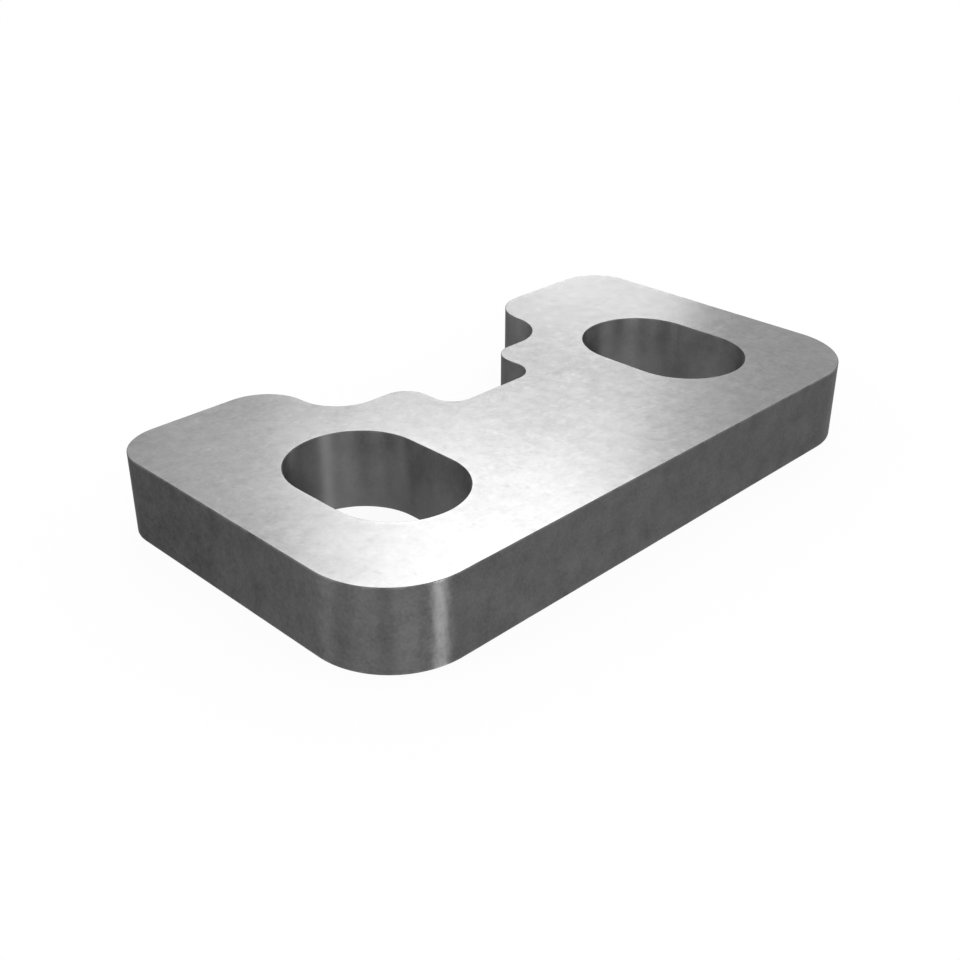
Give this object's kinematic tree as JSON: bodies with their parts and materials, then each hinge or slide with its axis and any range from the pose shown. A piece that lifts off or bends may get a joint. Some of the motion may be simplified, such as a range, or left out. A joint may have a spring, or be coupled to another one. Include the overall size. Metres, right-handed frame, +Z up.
{
  "type": "slotted wear strip",
  "caption": "Flat steel wear strip with rounded corners, crosswise bolt slots near each end for adjustment, and a stepped notch of tangent arcs in its back edge.",
  "frame": {"origin": "middle of the plate's footprint, on the seating face underneath", "axes": "+X along the plate's length, +Y from the plain front edge to the notched back edge, +Z up through the thickness"},
  "size_m": [0.126, 0.0706, 0.015],
  "materials": {
    "steel": "bare plate steel: both faces ground and lightly mottled, cut edges darker with streaks from face to face"
  },
  "bodies": {
    "root": {"wear_strip": "steel"}
  },
  "joints": []
}
